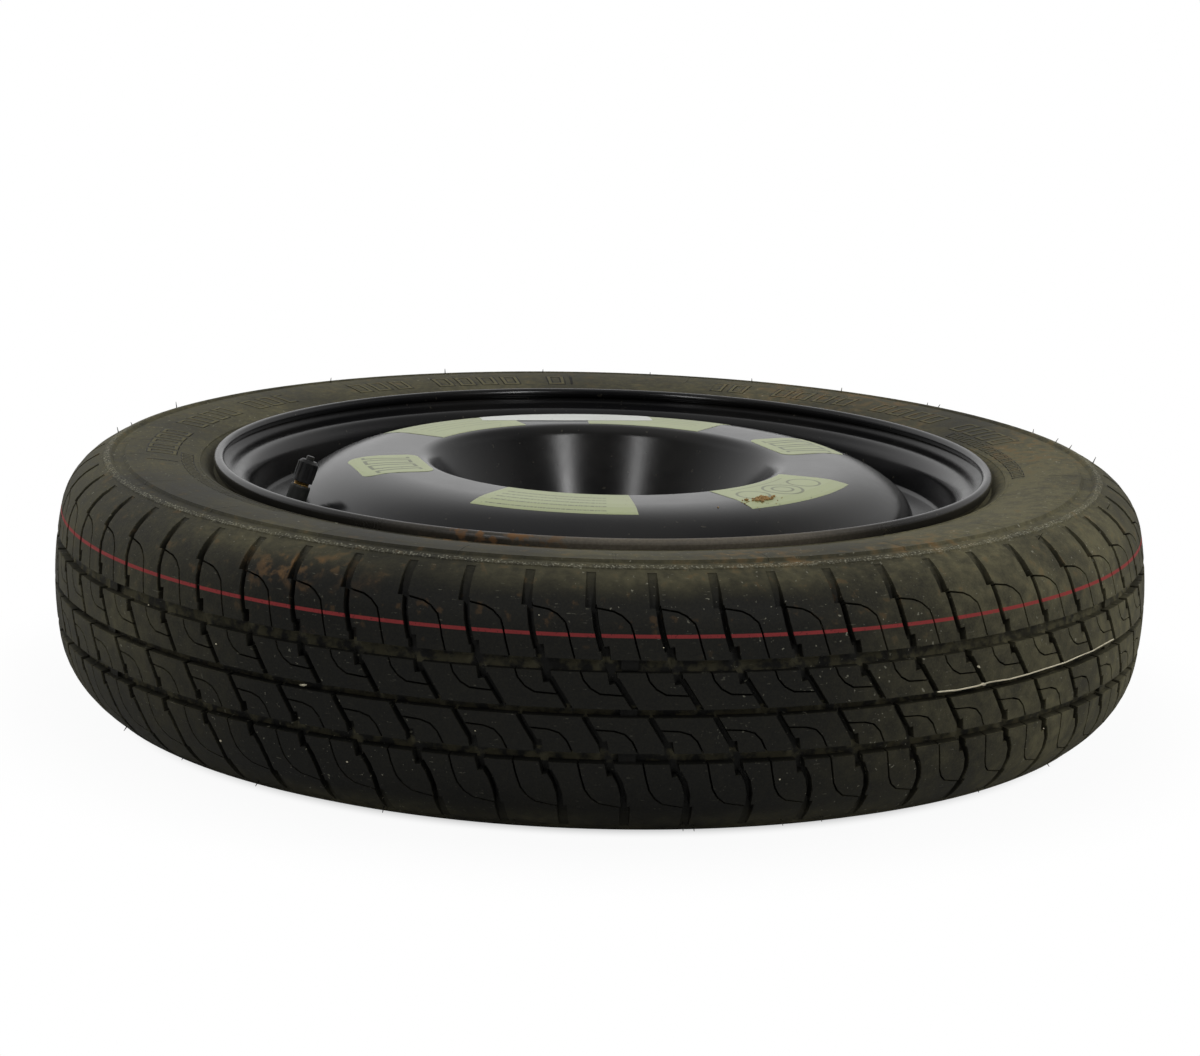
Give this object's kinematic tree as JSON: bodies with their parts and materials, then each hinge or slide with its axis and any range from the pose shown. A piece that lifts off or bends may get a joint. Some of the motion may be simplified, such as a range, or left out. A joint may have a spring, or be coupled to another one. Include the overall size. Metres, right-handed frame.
{
  "type": "slim spare wheel with slack tyre",
  "caption": "Slim steel spare wheel with a domed disc, a deep hub bowl and a worn, dusty, slack tyre, lying outer face up.",
  "frame": {"origin": "where the wheel's axis meets the hub mounting face", "axes": "+Z along the wheel's axis, out of its outer face; +X to the right and +Y away from the viewer's side, with the valve at 202 degrees"},
  "size_m": [0.581, 0.581, 0.1388],
  "materials": {
    "tyre": "dusty, scuffed",
    "black_paint": "satin",
    "valve_rubber": "matte",
    "brass": "bright",
    "white_seal": "matte",
    "spring_steel": "satin",
    "cap_plastic": "satin",
    "label_paper": "matte",
    "strip_paper": "matte"
  },
  "bodies": {
    "wheel": {"tyre": "tyre", "rim": "black_paint", "disc": "black_paint", "disc_welds": "black_paint", "valve_body": "valve_rubber", "valve_stem": "brass", "core_plug": "brass", "core_barrel": "brass", "core_gasket": "white_seal", "label_front": "label_paper", "label_right": "label_paper", "label_back_right": "label_paper", "label_back_left": "label_paper", "label_speed_left": "label_paper", "label_speed_right": "label_paper", "label_strip": "strip_paper", "core_spring": "spring_steel"},
    "core_pin": {"core_pin": "spring_steel", "core_cup": "brass", "core_seal": "valve_rubber"},
    "cap_seal": {"cap_seal": "valve_rubber"},
    "valve_cap": {"valve_cap": "cap_plastic"}
  },
  "joints": [
    {"name": "core_press", "type": "slide", "parent": "wheel", "child": "core_pin", "axis": [-0.3095, -0.125, -0.9426], "range_m": [0, 0.0012], "stiffness_N_per_m": 800, "springref_m": -0.003, "deforming": ["core_spring"]},
    {"name": "cap_rise", "type": "slide", "parent": "wheel", "child": "cap_seal", "axis": [0.3095, 0.125, 0.9426], "range_m": [0, 0.00635]},
    {"name": "cap_turn", "type": "hinge", "parent": "cap_seal", "child": "valve_cap", "pos_m": [-0.16455, -0.06648, 0.0149], "axis": [0.3095, 0.125, 0.9426], "range_deg": [0, 2880]}
  ],
  "couplings": [
    {"joint": "cap_turn", "follows": "cap_rise", "rad_per_m": 7913.3}
  ]
}
